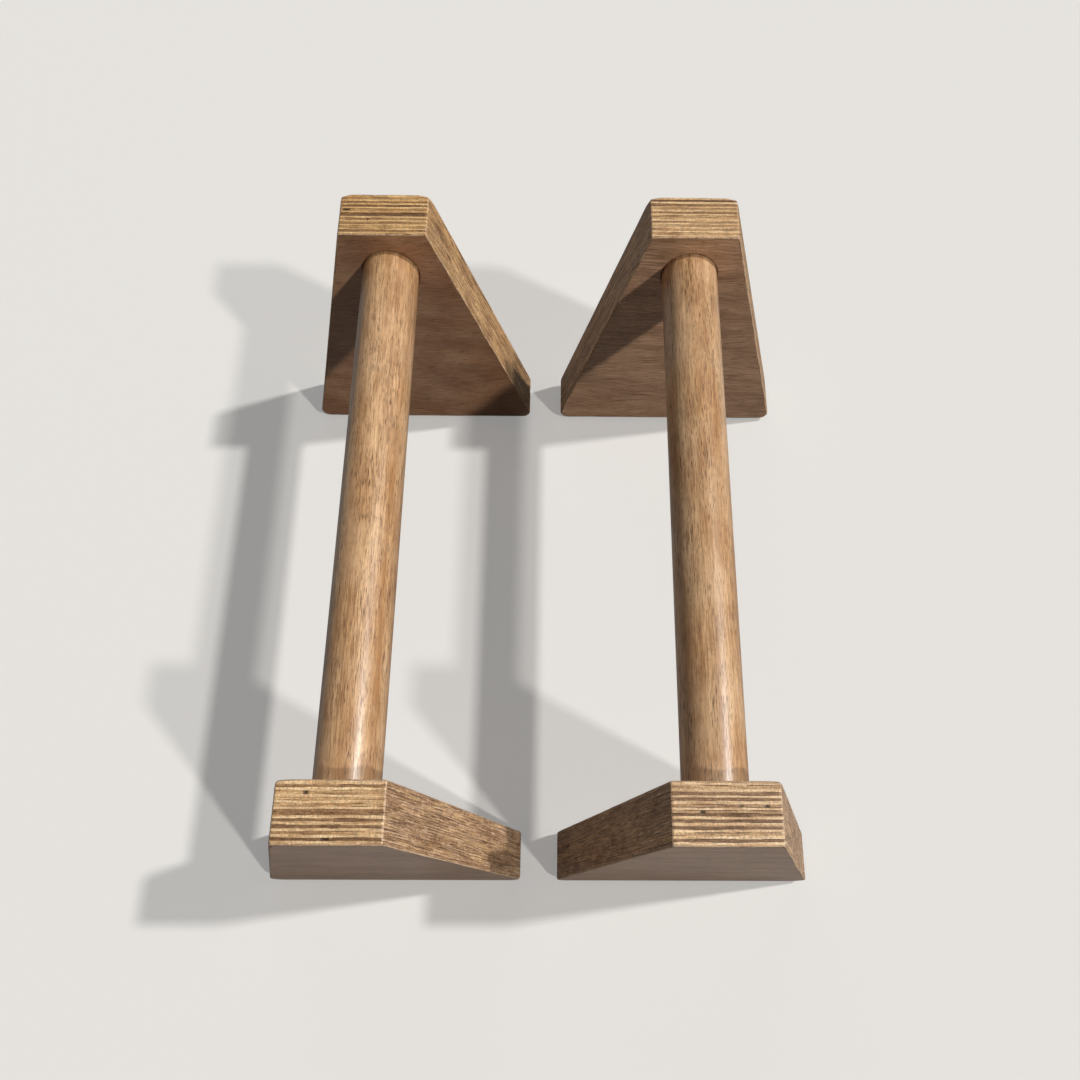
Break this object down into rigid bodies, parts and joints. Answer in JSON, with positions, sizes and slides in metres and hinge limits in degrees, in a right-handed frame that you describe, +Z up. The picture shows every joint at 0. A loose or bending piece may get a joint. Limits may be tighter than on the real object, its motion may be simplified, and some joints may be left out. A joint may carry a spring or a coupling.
{
  "type": "parallel bars",
  "caption": "Low wooden parallel bars for floor training: round grip bars let into trapezoid laminated plywood end plates on rubber pads.",
  "frame": {"origin": "on the floor, midway between the two stands and midway along the bars", "axes": "+X across the pair from the left stand to the right, +Y along the bars from front to back, +Z up"},
  "size_m": [0.4042, 0.45, 0.21],
  "materials": {
    "grip_bar_hardwood": "satin varnished open-pored hardwood, grain along the bar",
    "inner_board_plywood": "dark walnut-stained face veneer, satin; pale and dark plies show on the edges",
    "outer_board_plywood": "dark walnut-stained face veneer, satin; pale and dark plies show on the edges",
    "screw_steel": "zinc-plated, dull",
    "pad_rubber": "matt black, fine stipple"
  },
  "bodies": {
    "left_parallette": {"left_grip_bar": "grip_bar_hardwood", "left_front_inner_board": "inner_board_plywood", "left_front_outer_board": "outer_board_plywood", "left_front_bar_screw": "screw_steel", "left_front_outboard_pad": "pad_rubber", "left_front_inboard_pad": "pad_rubber", "left_back_inner_board": "inner_board_plywood", "left_back_outer_board": "outer_board_plywood", "left_back_bar_screw": "screw_steel", "left_back_outboard_pad": "pad_rubber", "left_back_inboard_pad": "pad_rubber"},
    "right_parallette": {"right_grip_bar": "grip_bar_hardwood", "right_front_inner_board": "inner_board_plywood", "right_front_outer_board": "outer_board_plywood", "right_front_bar_screw": "screw_steel", "right_front_outboard_pad": "pad_rubber", "right_front_inboard_pad": "pad_rubber", "right_back_inner_board": "inner_board_plywood", "right_back_outer_board": "outer_board_plywood", "right_back_bar_screw": "screw_steel", "right_back_outboard_pad": "pad_rubber", "right_back_inboard_pad": "pad_rubber"}
  },
  "joints": [
    {"name": "stand_spacing", "type": "slide", "parent": "left_parallette", "child": "right_parallette", "axis": [1, 0, 0], "range_m": [-0.02, 0.384]}
  ]
}
